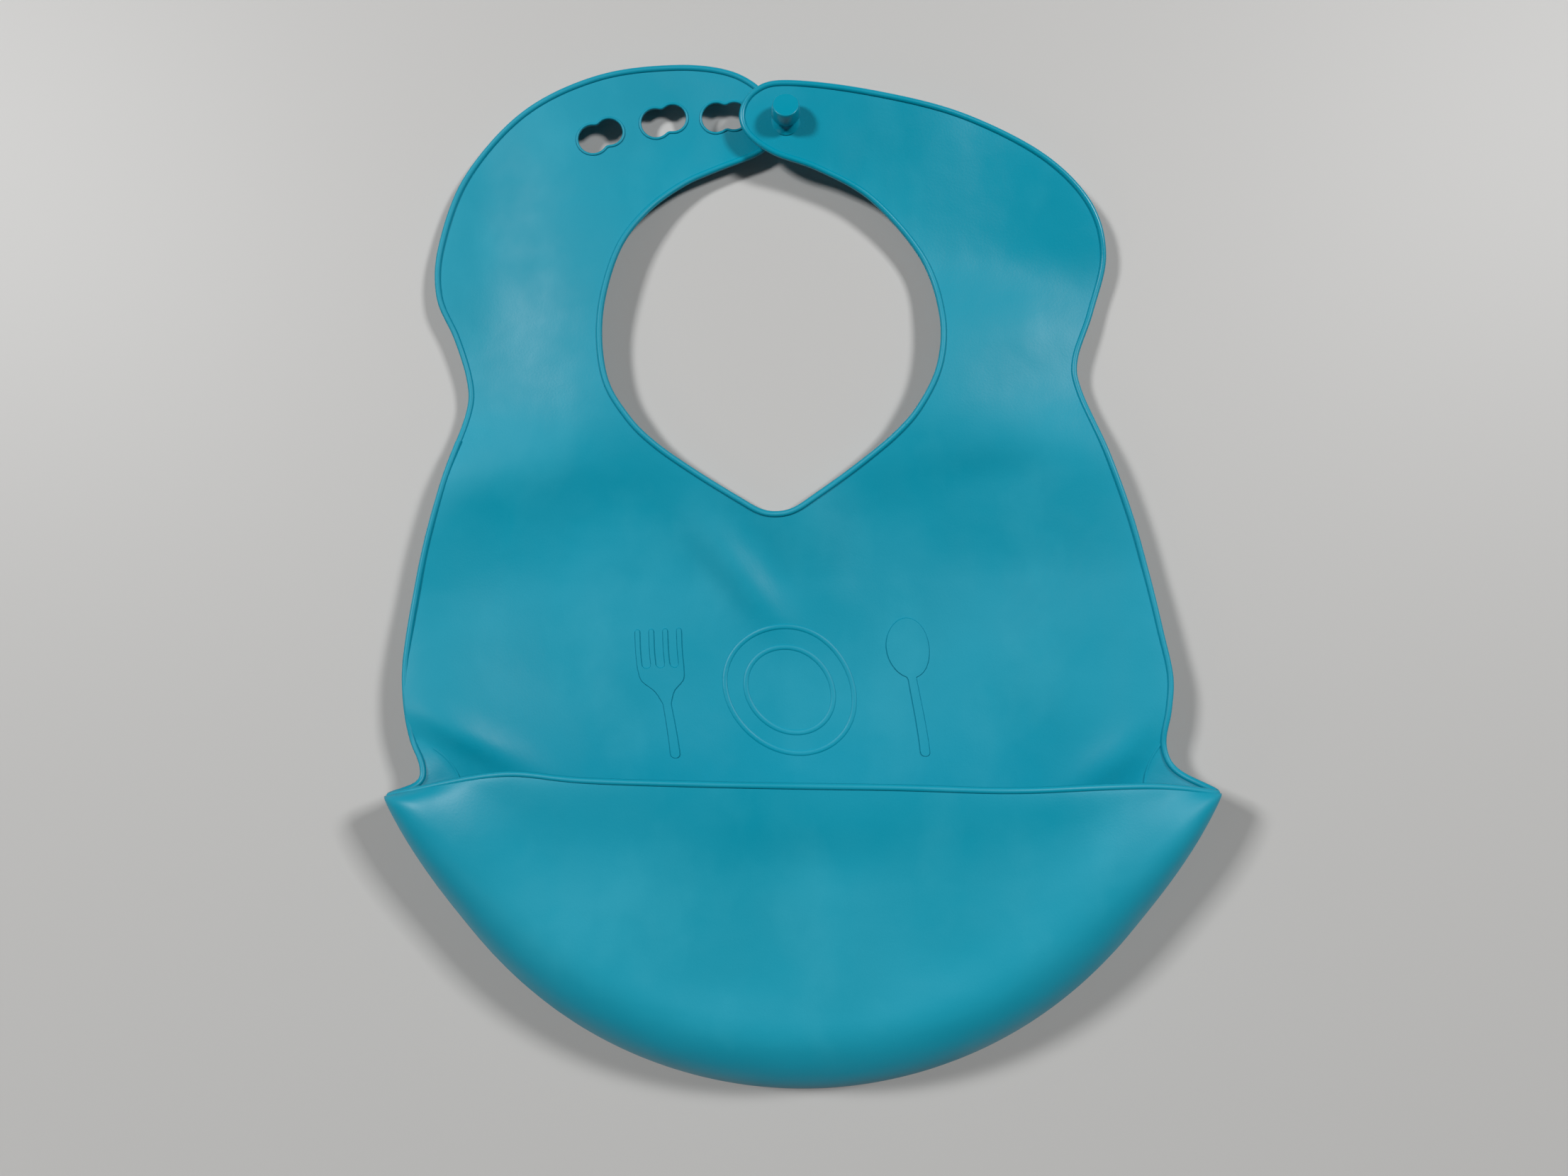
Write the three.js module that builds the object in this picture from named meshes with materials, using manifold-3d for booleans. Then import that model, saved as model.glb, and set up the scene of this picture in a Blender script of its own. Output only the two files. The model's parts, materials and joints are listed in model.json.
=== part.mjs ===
// A soft silicone bib with a catch pouch, lying on its back: +X to the wearer's left, +Y towards
// the neck, +Z out of the front. Millimetres. The origin is under the middle of the chest, on the
// plane that the bib rests on. The real bib is one moulding. Each mesh here is one region of it,
// and the gap between two regions is the strip of sheet that flexes when one bends on the other.
import * as THREE from "three";
import { mergeVertices } from "three/addons/utils/BufferGeometryUtils.js";
import Module from "manifold-3d";

const wasm = await Module();
wasm.setup();
const { degToRad, smoothstep } = THREE.MathUtils;

// ---- driving dimensions ----
const SHEET = 1.4; // wall thickness of the moulding
const BEAD_RADIUS = 1.1; // rounded bead along every free edge
const BEAD_LIFT = 1.3; // its centre line above the sheet's back, so that it stands proud in front
const FACET = 12; // size of a facet on the curved sheets

const NECK = { y: 88, radius: 47.5 }; // neck opening, a circle that ends in a notch below
const FOLD = { y: 22, gap: 4 }; // line across the chest where the bib folds in two
const SHOULDER = { y: 77, gap: 5 }; // line across the narrow waist of each strap
const TAB = { angle: 35, gap: 4 }; // line, seen from the neck's centre, where each end tab starts

const POUCH = {
  tipX: 114.7, // half the width of the mouth
  tipY: -42.3, // height of the two corners of the mouth
  arcRise: 35.9, // centre of the round outline above the corners
  radius: 119.2, // radius of the round outline
  tipZ: 22, // corners of the mouth above the table
  foldZ: 13, // widest line of the bottom fold above the table
  rimZ: 38, // middle of the rim above the table
  rimUp: 4.9, // the middle of the rim stands this far above the line between the corners
  rimTwist: 2.4, // the rim stands higher than that towards -X, and lower towards +X
  curl: 18, // width of the band that turns up from the floor
  curlRound: 0.65, // share of that band's rise that is a quarter round, the rest being straighter
  nose: 0.15, // share of the front wall that is the rounded fold
  noseRise: 0.5, // share of the wall's rise that the fold makes
};
const SLEW = { shift: 4, slope: 0.035 }; // the pouch lies a little askew of the chest

const SIDE_LIFT = 9; // the chest's side edges above the table
const SHOULDER_LIFT = 4; // the shoulders above the table
const NECK_LIFT = 4.5; // extra lift of the neck edge beside the opening
const LEFT_TAB_Z = 3; // underside of the keyhole tab's end above the table
const RIGHT_TAB_Z = 9; // underside of the stud tab's end, which lies over the keyhole tab

const KEYHOLES = {
  at: [[-10.8, 151, 2], [-28.4, 150.7, 15], [-46.6, 146.5, 24]], // x, y and tilt in degrees
  big: 4.0, // radius of the lobe that the stud enters by
  small: 3.7, // radius of the lobe that it seats in
  apart: 5.2, // between the two centres
  lip: 0.8, // width of the raised lip round the hole
  lipRise: 0.6, // height of that lip above the sheet
};
const STUD = {
  x: 6.6,
  y: 148.8,
  neckRadius: 2.8,
  headRadius: 4.1, // at the widest, just above the neck
  topRadius: 3.65,
  neck: 2.4, // height of the neck
  head: 5, // height of the head
  foot: 0.8, // flare of the neck's foot
  round: 0.6, // rounding of the head's top
  gap: 0.5, // between the stud and its tab, which are one piece on the real bib
};

const PI = Math.PI;
const HALF = SHEET / 2;
const CUTTER = { below: -30, above: 90 }; // heights that reach past every sheet
const ARC_Y = POUCH.tipY + POUCH.arcRise;
const TIP_ANGLE = Math.atan2(POUCH.tipX, POUCH.arcRise);

// ---- edges, seen from the front, as [x, y] control points ----
const chestSide = [
  [87.8, 77], [88.4, 68], [95, 49.5], [101.3, 29.5], [105.8, 9], [108.6, -11], [108.2, -24],
  [106.3, -33], [108.9, -38.6], [POUCH.tipX - 1.5, POUCH.tipY + 0.9],
];
const halfNotch = [[47, 77], [41.2, 65.6], [34, 57.8], [23, 49.5], [10.7, 41.3], [4.7, 37.7]];
const neckNotch = [
  ...halfNotch.map(([x, y]) => [-x, y]), [0, 36.8], ...halfNotch.toReversed(),
];
const leftStrapEdge = [
  [-87.8, 77], [-91, 89.5], [-95.7, 102], [-94.6, 117], [-86.5, 137], [-69.5, 154], [-47, 164.2],
  [-25, 166.6], [-8.5, 164], [1.5, 157], [4.4, 149], [3.2, 143.4], [-1.8, 139.4], [-13.4, 135.4],
  [-23.4, 131.2], [-33.8, 123.4], [-42.2, 112], [-47.6, 94], [-47, 77],
];
const rightStrapEdge = [
  [47, 77], [48.2, 91], [43.6, 107.5], [30, 124], [15, 132.8], [2.5, 137.6], [-5, 143.5],
  [-6.6, 150], [-2.5, 156], [7, 158.1], [33, 153.8], [58, 147.2], [79.5, 136], [93, 122],
  [97.2, 106.5], [93, 90.5], [87.8, 77],
];

// ---- height of the sheet's underside above the table ----
const towardsTips = (angle) => smoothstep(Math.abs(angle) / TIP_ANGLE, 0.45, 1);
const outlineZ = (angle) => POUCH.foldZ + (POUCH.tipZ - POUCH.foldZ) * towardsTips(angle);

// Lift of the sheet beside the neck opening, fading out below the notch.
function neckLift(x, y) {
  const fromEdge = Math.abs(Math.hypot(x, y - NECK.y) - NECK.radius);
  return NECK_LIFT * Math.exp(-((fromEdge / 20) ** 2)) * smoothstep(y, 34, SHOULDER.y);
}

// The chest and the pouch's floor, before the band that turns up into the pouch's wall.
function chestZ(x, y) {
  const side = smoothstep(Math.abs(x), 55, 108) * smoothstep(y, -60, -12);
  const low = 1 - smoothstep(y, 20, SHOULDER.y);
  return SIDE_LIFT * side * low + SHOULDER_LIFT * smoothstep(y, 35, SHOULDER.y) + neckLift(x, y);
}

// How far the band has risen, from 0 at its crease to 1 at the outline, by a turn from 0 to PI / 2.
const curlRise = (turn) =>
  (1 - POUCH.curlRound) * Math.sin(turn) + POUCH.curlRound * (1 - Math.cos(turn));

function panelZ(x, y) {
  const base = chestZ(x, y);
  const inside = POUCH.radius - Math.hypot(x, y - ARC_Y);
  const share = THREE.MathUtils.clamp(inside / POUCH.curl, 0, 1);
  const angle = Math.atan2(x, ARC_Y - y);
  const above = smoothstep(y, POUCH.tipY + 4, POUCH.tipY + 26);
  return base + (outlineZ(angle) - base) * curlRise(Math.asin(1 - share)) * (1 - above);
}

// A strap's sheet: as the chest at the shoulder, then level to its tab's own height.
function strapZ(x, y, tabZ) {
  const alongTab = smoothstep(y, SHOULDER.y + 20, 145) * smoothstep(-Math.abs(x), -75, -15);
  const wing = SHOULDER_LIFT + neckLift(x, y);
  return wing + (tabZ - wing) * alongTab;
}
const leftStrapZ = (x, y) => strapZ(x, y, LEFT_TAB_Z);
const rightStrapZ = (x, y) => strapZ(x, y, RIGHT_TAB_Z);

// ---- solids ----
function solid(geometry) {
  const bare = geometry.clone();
  bare.deleteAttribute("normal");
  bare.deleteAttribute("uv");
  const merged = mergeVertices(bare, 1e-4);
  return new wasm.Manifold(
    new wasm.Mesh({
      numProp: 3,
      vertProperties: merged.attributes.position.array,
      triVerts: new Uint32Array(merged.index.array),
    }),
  );
}

// A sheet over the box from low to high, its underside at height(x, y).
function slab(low, high, height) {
  const size = [high[0] - low[0], high[1] - low[1]];
  const cells = size.map((side) => Math.ceil(side / FACET));
  const g = new THREE.BoxGeometry(size[0], size[1], SHEET, cells[0], cells[1], 1);
  g.translate((low[0] + high[0]) / 2, (low[1] + high[1]) / 2, HALF);
  const p = g.attributes.position;
  for (let i = 0; i < p.count; i++) p.setZ(i, p.getZ(i) + height(p.getX(i), p.getY(i)));
  return solid(g);
}

// An upright prism through every sheet, on a plan outline.
function prism(points) {
  const shape = new THREE.Shape(points.map(([x, y]) => new THREE.Vector2(x, y)));
  const depth = CUTTER.above - CUTTER.below;
  const g = new THREE.ExtrudeGeometry(shape, { depth, bevelEnabled: false });
  return solid(g.translate(0, 0, CUTTER.below));
}

const smoothEdge = (points, count) =>
  new THREE.SplineCurve(points.map(([x, y]) => new THREE.Vector2(x, y)))
    .getSpacedPoints(count)
    .map((p) => [p.x, p.y]);

function tube(points3) {
  const section = new THREE.Shape().absarc(0, 0, BEAD_RADIUS, 0, 2 * PI);
  const path = new THREE.CatmullRomCurve3(points3, false, "centripetal");
  const steps = points3.length - 1;
  return solid(new THREE.ExtrudeGeometry(section, { steps, curveSegments: 3, extrudePath: path }));
}
const bead = (edge, height) =>
  tube(edge.map(([x, y]) => new THREE.Vector3(x, y, height(x, y) + BEAD_LIFT)));

// Moves the pouch askew: a shift and a small turn that fade in below the chest.
function lie(x, y) {
  const s = smoothstep(-y, 0, -POUCH.tipY);
  return [x + s * (SLEW.shift + SLEW.slope * (y - POUCH.tipY)), y - s * SLEW.slope * x];
}

function meshOf(name, body, askew) {
  const { numProp, vertProperties, triVerts } = body.getMesh();
  const position = new Float32Array((vertProperties.length / numProp) * 3);
  for (let i = 0; i < position.length / 3; i++) {
    const [x, y, z] = vertProperties.subarray(i * numProp, i * numProp + 3);
    position.set(askew ? [...lie(x, y), z] : [x, y, z], i * 3);
  }
  const g = new THREE.BufferGeometry();
  g.setAttribute("position", new THREE.BufferAttribute(position, 3));
  g.setIndex(new THREE.BufferAttribute(triVerts, 1));
  g.computeVertexNormals();
  const silicone = new THREE.MeshStandardMaterial({ color: 0x1593b0, roughness: 0.45, metalness: 0 });
  const mesh = new THREE.Mesh(g, silicone);
  mesh.name = name;
  return mesh;
}

// ---- chest ----
const rightSide = smoothEdge(chestSide, 26);
const leftSide = rightSide.map(([x, y]) => [-x, y]);
const notch = smoothEdge(neckNotch, 26);
const sideAbovePouch = ([, y]) => y > -34;

// Plan of the chest and the pouch's floor: sides, notch, and the floor's round end.
function chestPlan() {
  const floorEnd = [];
  const radius = POUCH.radius - POUCH.curl / 2;
  const last = TIP_ANGLE - 0.02;
  for (let i = 0; i <= 32; i++) {
    const angle = last * (1 - (2 * i) / 32);
    floorEnd.push([radius * Math.sin(angle), ARC_Y - radius * Math.cos(angle)]);
  }
  const side = rightSide.filter(sideAbovePouch);
  const up = [...side].reverse();
  const down = side.map(([x, y]) => [-x, y]);
  return [...up, ...[...notch].reverse(), ...down, ...[...floorEnd].reverse()];
}

const level = (y0, y1) => prism([[-150, y0], [150, y0], [150, y1], [-150, y1]]);
const chestSheet = slab([-122, -124], [122, 84], panelZ)
  .intersect(prism(chestPlan()))
  .add(bead(rightSide.filter(sideAbovePouch), panelZ))
  .add(bead(leftSide.filter(sideAbovePouch), panelZ))
  .add(bead(notch, panelZ));

const lowerPanel = chestSheet.intersect(level(-140, FOLD.y - FOLD.gap / 2));
const upperPanel = chestSheet.intersect(level(FOLD.y + FOLD.gap / 2, SHOULDER.y - SHOULDER.gap / 2));

// ---- straps ----
function strap(edge, height) {
  const outline = smoothEdge(edge, 64);
  const xs = outline.map(([x]) => x);
  const ends = [Math.min(...xs) - 4, Math.max(...xs) + 4];
  return slab([ends[0], SHOULDER.y - 4], [ends[1], 172], height)
    .intersect(prism(outline))
    .add(bead(outline, height))
    .intersect(level(SHOULDER.y + SHOULDER.gap / 2, 200));
}

// The plan beyond (or before) the tab line on one side: side is 1 on the right and -1 on the left.
function tabPlan(side, beyond) {
  const angle = degToRad(TAB.angle);
  const out = [side * Math.cos(angle), Math.sin(angle)];
  const along = [-side * Math.sin(angle), Math.cos(angle)].map((v) => (beyond ? v : -v));
  const corner = (r, t) => [r * out[0] + t * along[0], NECK.y + r * out[1] + t * along[1]];
  return [corner(-10, TAB.gap / 2), corner(160, TAB.gap / 2), corner(160, 160), corner(-10, 160)];
}
const clockwise = (points) => THREE.ShapeUtils.area(points.map(([x, y]) => ({ x, y }))) < 0;
const tabPrism = (side, beyond) => {
  const plan = tabPlan(side, beyond);
  return prism(clockwise(plan) ? plan.reverse() : plan);
};

const leftWhole = strap(leftStrapEdge, leftStrapZ);
const rightWhole = strap(rightStrapEdge, rightStrapZ);

// Two round lobes side by side: the stud goes in by the big one and seats in the small one.
function keyhole(index, grow) {
  const [x, y, degrees] = KEYHOLES.at[index];
  const tilt = degToRad(degrees);
  const half = KEYHOLES.apart / 2;
  const lobe = (side, radius) =>
    solid(new THREE.CylinderGeometry(radius + grow, radius + grow, 40, 18).rotateX(PI / 2))
      .translate([x + side * half * Math.cos(tilt), y + side * half * Math.sin(tilt), 0]);
  return lobe(-1, KEYHOLES.big).add(lobe(1, KEYHOLES.small));
}
const lipSheet = slab([-62, 130], [6, 170], leftStrapZ).translate([0, 0, KEYHOLES.lipRise]);
const leftTab = KEYHOLES.at.reduce(
  (tab, _, i) => tab.add(lipSheet.intersect(keyhole(i, KEYHOLES.lip))).subtract(keyhole(i, 0)),
  leftWhole.intersect(tabPrism(-1, true)),
);

// ---- pouch ----
const radial = (angle, r, z) =>
  new THREE.Vector3(r * Math.sin(angle), ARC_Y - r * Math.cos(angle), z);
function rimRadius(angle) {
  const across = Math.tan(angle) / Math.tan(TIP_ANGLE);
  const up = (POUCH.rimUp - POUCH.rimTwist * across) * (1 - Math.abs(across) ** 16);
  return (POUCH.arcRise - up) / Math.cos(angle);
}

function rimZ(angle) {
  const across = (rimRadius(angle) * Math.sin(angle)) / POUCH.tipX;
  return POUCH.tipZ + (POUCH.rimZ - POUCH.tipZ) * Math.max(0, 1 - across ** 2) ** 0.9;
}

// The turned-up band under the outline: share 0 is the crease, 1 the outline.
function underPoint(angle, share) {
  const turn = (share * PI) / 2;
  const r = POUCH.radius - POUCH.curl * (1 - Math.sin(turn));
  const foot = radial(angle, POUCH.radius - POUCH.curl, 0);
  const base = chestZ(foot.x, foot.y) + HALF;
  return radial(angle, r, base + (outlineZ(angle) + HALF - base) * curlRise(turn));
}

// The front wall: rho 0 is the outline, 1 the rim.
function frontPoint(angle, rho) {
  const turn = Math.acos(Math.max(0, 1 - rho / POUCH.nose));
  const rise = POUCH.noseRise * Math.sin(turn) + (1 - POUCH.noseRise) * rho;
  const low = outlineZ(angle) + HALF;
  const r = POUCH.radius - (POUCH.radius - rimRadius(angle)) * rho;
  return radial(angle, r, low + (rimZ(angle) - low) * rise);
}

// A closed wall about the surface point(i, j), for i over columns and j over rows.
function wall(columns, rows, point) {
  const mid = [];
  for (let i = 0; i <= columns; i++)
    for (let j = 0; j <= rows; j++) mid.push(point(i, j));
  const at = (i, j) => mid[i * (rows + 1) + j];
  const clampTo = (v, most) => Math.min(Math.max(v, 0), most);
  const normal = (i, j) => {
    const du = at(clampTo(i + 1, columns), j).clone().sub(at(clampTo(i - 1, columns), j));
    const dv = at(i, clampTo(j + 1, rows)).clone().sub(at(i, clampTo(j - 1, rows)));
    return du.cross(dv).normalize();
  };
  const position = [];
  for (const side of [HALF, -HALF])
    for (let i = 0; i <= columns; i++)
      for (let j = 0; j <= rows; j++)
        position.push(...at(i, j).clone().addScaledVector(normal(i, j), side).toArray());
  const index = [];
  const id = (i, j, face) => face * mid.length + i * (rows + 1) + j;
  const quad = (a, b, c, d) => index.push(a, b, c, a, c, d);
  for (let i = 0; i < columns; i++)
    for (let j = 0; j < rows; j++) {
      quad(id(i, j, 0), id(i + 1, j, 0), id(i + 1, j + 1, 0), id(i, j + 1, 0));
      quad(id(i, j, 1), id(i, j + 1, 1), id(i + 1, j + 1, 1), id(i + 1, j, 1));
    }
  for (let i = 0; i < columns; i++) {
    quad(id(i, 0, 1), id(i + 1, 0, 1), id(i + 1, 0, 0), id(i, 0, 0));
    quad(id(i, rows, 0), id(i + 1, rows, 0), id(i + 1, rows, 1), id(i, rows, 1));
  }
  for (let j = 0; j < rows; j++) {
    quad(id(0, j, 0), id(0, j + 1, 0), id(0, j + 1, 1), id(0, j, 1));
    quad(id(columns, j, 1), id(columns, j + 1, 1), id(columns, j + 1, 0), id(columns, j, 0));
  }
  const g = new THREE.BufferGeometry();
  g.setAttribute("position", new THREE.BufferAttribute(new Float32Array(position), 3));
  g.setIndex(index);
  return solid(g);
}

const COLUMNS = 32;
const fan = (i, last) => last * ((2 * i) / COLUMNS - 1);

// Bottom fold: from halfway up the turned-up band, round the outline, to the top of the nose.
const foldLast = TIP_ANGLE * 0.97;
const foldStart = 0.42; // share of the band where it begins
const foldEnd = 0.85; // share of the nose where it stops
const underRows = 3;
const noseRows = 4;
function foldPoint(i, j) {
  const angle = fan(i, foldLast);
  if (j <= underRows) return underPoint(angle, foldStart + ((1 - foldStart) * j) / underRows);
  const turn = (((j - underRows) / noseRows) * PI) / 2;
  return frontPoint(angle, foldEnd * POUCH.nose * (1 - Math.cos(turn)));
}
const bottomFold = wall(COLUMNS, underRows + noseRows, foldPoint);

// Front wall: from just past the nose to the rim, with its bead.
const frontLast = TIP_ANGLE * 0.93;
const frontRows = 6;
const wallGap = 0.03; // between the fold and the wall, as a share of the wall
const wallStart = POUCH.nose + wallGap;
const frontWall = wall(COLUMNS, frontRows, (i, j) =>
  frontPoint(fan(i, frontLast), wallStart + ((1 - wallStart) * j) / frontRows),
).add(tube(Array.from({ length: 41 }, (_, i) => frontPoint(frontLast * (i / 20 - 1), 1))));

// ---- stud ----
function studProfile() {
  const { neckRadius, headRadius, topRadius, neck, head, foot, round } = STUD;
  const points = [[0, 0], [neckRadius + foot, 0], [neckRadius, foot], [neckRadius, neck]];
  points.push([headRadius - 0.4, neck], [headRadius, neck + 0.5]);
  points.push([topRadius, neck + head - round], [topRadius - round, neck + head], [0, neck + head]);
  return points.map(([r, z]) => new THREE.Vector2(r, z));
}
const studBase = rightStrapZ(STUD.x, STUD.y) + SHEET + STUD.gap;
const stud = solid(new THREE.LatheGeometry(studProfile(), 24).rotateX(PI / 2))
  .translate([STUD.x, STUD.y, studBase]);

// ---- the bib ----
const bib = new THREE.Group();
bib.add(
  meshOf("lower_panel", lowerPanel, true),
  meshOf("upper_panel", upperPanel, true),
  meshOf("pouch_bottom_fold", bottomFold, true),
  meshOf("pouch_front_wall", frontWall, true),
  meshOf("left_strap", leftWhole.intersect(tabPrism(-1, false)), false),
  meshOf("left_keyhole_tab", leftTab, false),
  meshOf("right_strap", rightWhole.intersect(tabPrism(1, false)), false),
  meshOf("right_stud_tab", rightWhole.intersect(tabPrism(1, true)), false),
  meshOf("closure_stud", stud, false),
);

export default bib;
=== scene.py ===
import json
import math

import bmesh
import bpy
import numpy as np
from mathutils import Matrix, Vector
from mathutils.geometry import delaunay_2d_cdt


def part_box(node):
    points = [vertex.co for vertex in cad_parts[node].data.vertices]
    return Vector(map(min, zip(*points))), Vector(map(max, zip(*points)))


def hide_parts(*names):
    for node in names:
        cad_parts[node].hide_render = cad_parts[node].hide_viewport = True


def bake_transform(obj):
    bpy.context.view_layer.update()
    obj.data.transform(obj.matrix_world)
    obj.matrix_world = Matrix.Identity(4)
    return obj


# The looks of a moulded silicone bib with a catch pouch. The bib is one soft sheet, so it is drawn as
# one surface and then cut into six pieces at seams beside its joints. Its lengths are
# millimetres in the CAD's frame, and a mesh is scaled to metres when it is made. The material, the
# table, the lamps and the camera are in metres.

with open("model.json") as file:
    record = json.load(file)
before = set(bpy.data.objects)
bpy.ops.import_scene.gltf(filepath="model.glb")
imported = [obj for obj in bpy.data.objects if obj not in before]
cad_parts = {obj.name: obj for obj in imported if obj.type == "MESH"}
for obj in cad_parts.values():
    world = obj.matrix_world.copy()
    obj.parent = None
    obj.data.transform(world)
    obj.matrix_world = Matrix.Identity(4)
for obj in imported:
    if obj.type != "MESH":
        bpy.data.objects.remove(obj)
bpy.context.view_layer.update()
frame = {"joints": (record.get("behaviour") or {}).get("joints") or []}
joints = {joint["name"]: joint for joint in frame["joints"]}

MM = 0.001


def pivot(name):
    return Vector(joints[name]["pos_m"]) / MM


def box(node):
    low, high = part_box(node)
    return low / MM, high / MM


# ---- sizes ----
SHEET = 1.4  # thickness
HALF = SHEET / 2
BEAD = 0.9  # radius of the bead along the free edges
BEAD_PROUD = 0.45  # its centre above the middle of the sheet

NECK_Y = pivot("left_tab_bend").y
NECK_RADIUS = 47.5
TAB_AXIS = Vector(joints["right_tab_lift"]["axis"])
FOLD_Y = pivot("chest_fold").y
SHOULDER_Y = pivot("left_shoulder_bend").y

FOLD_REACH = 14  # half the length of sheet that bends at the chest fold
SHOULDER_REACH = 14
TAB_REACH = 12
SEAM_LOW = FOLD_Y - FOLD_REACH - 2  # seams lie just outside the stretches that bend
SEAM_HIGH = SHOULDER_Y - SHOULDER_REACH - 3

TIP_X = 114.1  # half the width of the pouch's mouth
TIP_Y = -42.3
ARC_RISE = 35.9
RADIUS = math.hypot(TIP_X, ARC_RISE)
ARC_Y = TIP_Y + ARC_RISE
TIP_ANGLE = math.atan2(TIP_X, ARC_RISE)
OUTLINE_IN = 1.6  # the pouch's outline is a little flatter than the arc through its three points
RIM_UP = 4.8  # the middle of the rim above the line between its ends
RIM_TWIST = 1.9  # the rim is higher than that towards -X, and lower towards +X
RIM_FLARE = 1.3  # it is higher again close to its -X end
RIM_FLARE_AT = (-0.86, 0.16)  # middle and reach, as shares of the way to the rim's end
RIM_DIP = 0.9  # and dips a little halfway to its +X end
RIM_DIP_AT = (0.53, 0.2)
RIM_SQUARE = 26  # the higher this power, the more suddenly it comes down to its ends
RIM_ARCH = 0.9  # power of the arch that it makes above the table
TIP_Z = 22.0  # back of the sheet at the ends of the rim
FOLD_Z = 13.0  # and along the pouch's outline
TIP_SHARE = 0.7  # the outline starts to rise this far along towards its ends
RIM_Z = box("pouch_front_wall")[1].z - 1.8
CURL = 18.0  # width of the band that turns up round the pouch's floor
CURL_AT_TIP = 17.0
CURL_ROUND = 0.65  # share of its rise that is a quarter round, the rest being straight
NOSE = 0.25  # share of the front wall that the rounded fold takes up
NOSE_RISE = 0.78  # and its share of the rise to the rim
CREST = 0.8  # the rounded fold stands a little proud of the wall behind it
CREST_IN = 20  # how far in from the outline
CREST_WIDTH = 7
CREST_WALL = (24, 56)  # it grows as the wall behind it widens between these
SAG = 1.8  # and that wall sags a little between the fold and the rim
SAG_FROM = 0.1  # from this share of the wall on

CHEST_LIFT = 4.5  # the chest bulges towards the mouth of the pouch
BULGE_Y = -34
BULGE_REACH = 38
BULGE_MIDDLE = 0.4  # share of it in the middle of the chest
BULGE_X = (15, 50)  # it is full beyond these
SIDE_LIFT = 9.0  # its sides curl up
SIDE_X = (55, 108)
SIDE_Y = (-70, -16)
SIDE_END_Y = (20, SHOULDER_Y)
SHOULDER_LIFT = 4.4
SHOULDER_RISE_Y = (15, 53)
NECK_LIFT = 4.1  # and so does the neck edge
NECK_REACH = 34
NECK_LIFT_Y = (34, SHOULDER_Y)
NECK_DROP = 0.8  # share of that lift that the right strap goes without
NECK_DROP_X = (-30, 30)
NECK_DROP_Y = (82, 122)
SETTLE = 1.0  # how softly the sheet meets the table
LEFT_TAB_Z = 3.0
RIGHT_TAB_Z = 9.0
TAB_RISE_Y = (SHOULDER_Y + 20, 145)  # a strap comes to the height of its tab between these
TAB_RISE_X = (75, 15)
SWELLS_CLEAR = (6, 26)  # dents and swells fade out this near to the pouch's outline
SLEW_SHIFT = 4.0  # the pouch lies off to one side of the chest, and askew of it
SLEW_SLOPE = 0.035

GRID = 2.0  # spacing of the points inside a sheet
GRID_ROW = 0.866 * GRID  # and of their rows, for nearly equal triangles
GRID_CLEAR = 0.6 * GRID  # and how far they stay from its edges
SPLINE_STEPS = 24  # points of a curve from one control to the next
EDGE_STEP = 1.3  # spacing of the points along an edge
CURVE_STEP = 0.8  # and along the curves that edges are taken from
BEAD_STEP = 0.9  # and along a bead
CORNER_FADE = 10  # length over which the side's bead parts from the pouch's corner
PAST_SEAM = 12  # the chest is made this much too long before it is cut at the upper seam
BEFORE_SEAM = 8  # and so are the straps
SLIVER = 1e-3  # triangles smaller than this, in square millimetres, are left out
WELD = 2e-3  # points closer than this are made one
TINY = 1e-4  # and lengths below this count as none
SHARP = math.radians(40)  # edges sharper than this are shaded as edges

# ---- edges, seen from the front ----
SIDE = [(108.6, -11), (105.8, 9), (101.3, 29.5), (95, 49.5), (88.4, 68), (87.8, 77)]
RIGHT_CORNER = [(TIP_X, TIP_Y), (105.4, -36.6), (103.5, -32.4), (103.9, -28), (106.4, -21.5)]
LEFT_CORNER = [(TIP_X, TIP_Y), (108.9, -40.2), (106.9, -38), (107.4, -33), (109.2, -26)]
LEFT_STRAP = [(-91, 89.5), (-95.7, 102), (-94.6, 117), (-86.5, 137), (-69.5, 154), (-47, 164.2),
              (-25, 166.6), (-8.5, 164), (1.5, 157), (4.4, 149), (3.2, 143.4), (-1.8, 139.4),
              (-13.4, 135.4), (-23.4, 131.2), (-33.8, 123.4), (-42.2, 112), (-47.6, 94)]
RIGHT_STRAP = [(93, 90.5), (97.2, 106.5), (93, 122), (79.5, 136), (58, 147.2), (33, 153.8),
               (7, 158.1), (-2.5, 156), (-6.6, 150), (-5, 143.5), (2.5, 137.6), (15, 132.8),
               (30, 124), (43.6, 107.5), (48.2, 91)]
HALF_NOTCH = [(47, 77), (41.2, 65.6), (34, 57.8), (23, 49.5), (10.7, 41.3), (4.7, 37.7)]
NOTCH_BOTTOM = (0, 36.8)


def mirrored(points):
    return [(-x, y) for x, y in points]


def resample(points, step):
    """The polyline again, in equal steps of about this length."""
    points = np.asarray(points, float)
    run = np.r_[0, np.cumsum(np.linalg.norm(np.diff(points, axis=0), axis=1))]
    stops = np.linspace(0, run[-1], max(2, round(run[-1] / step) + 1))
    return np.column_stack([np.interp(stops, run, column) for column in points.T])


def spline(controls, step):
    """A Catmull-Rom curve through the controls, in equal steps."""
    p = np.asarray(controls, float)
    p = np.vstack([2 * p[0] - p[1], p, 2 * p[-1] - p[-2]])
    t = np.linspace(0, 1, SPLINE_STEPS, endpoint=False)[:, None]
    spans = []
    for a, b, c, d in zip(p, p[1:], p[2:], p[3:]):
        spans.append(0.5 * (2 * b + (c - a) * t + (2 * a - 5 * b + 4 * c - d) * t**2
                            + (3 * b - a - 3 * c + d) * t**3))
    return resample(np.vstack([*spans, p[-2]]), step)


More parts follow.
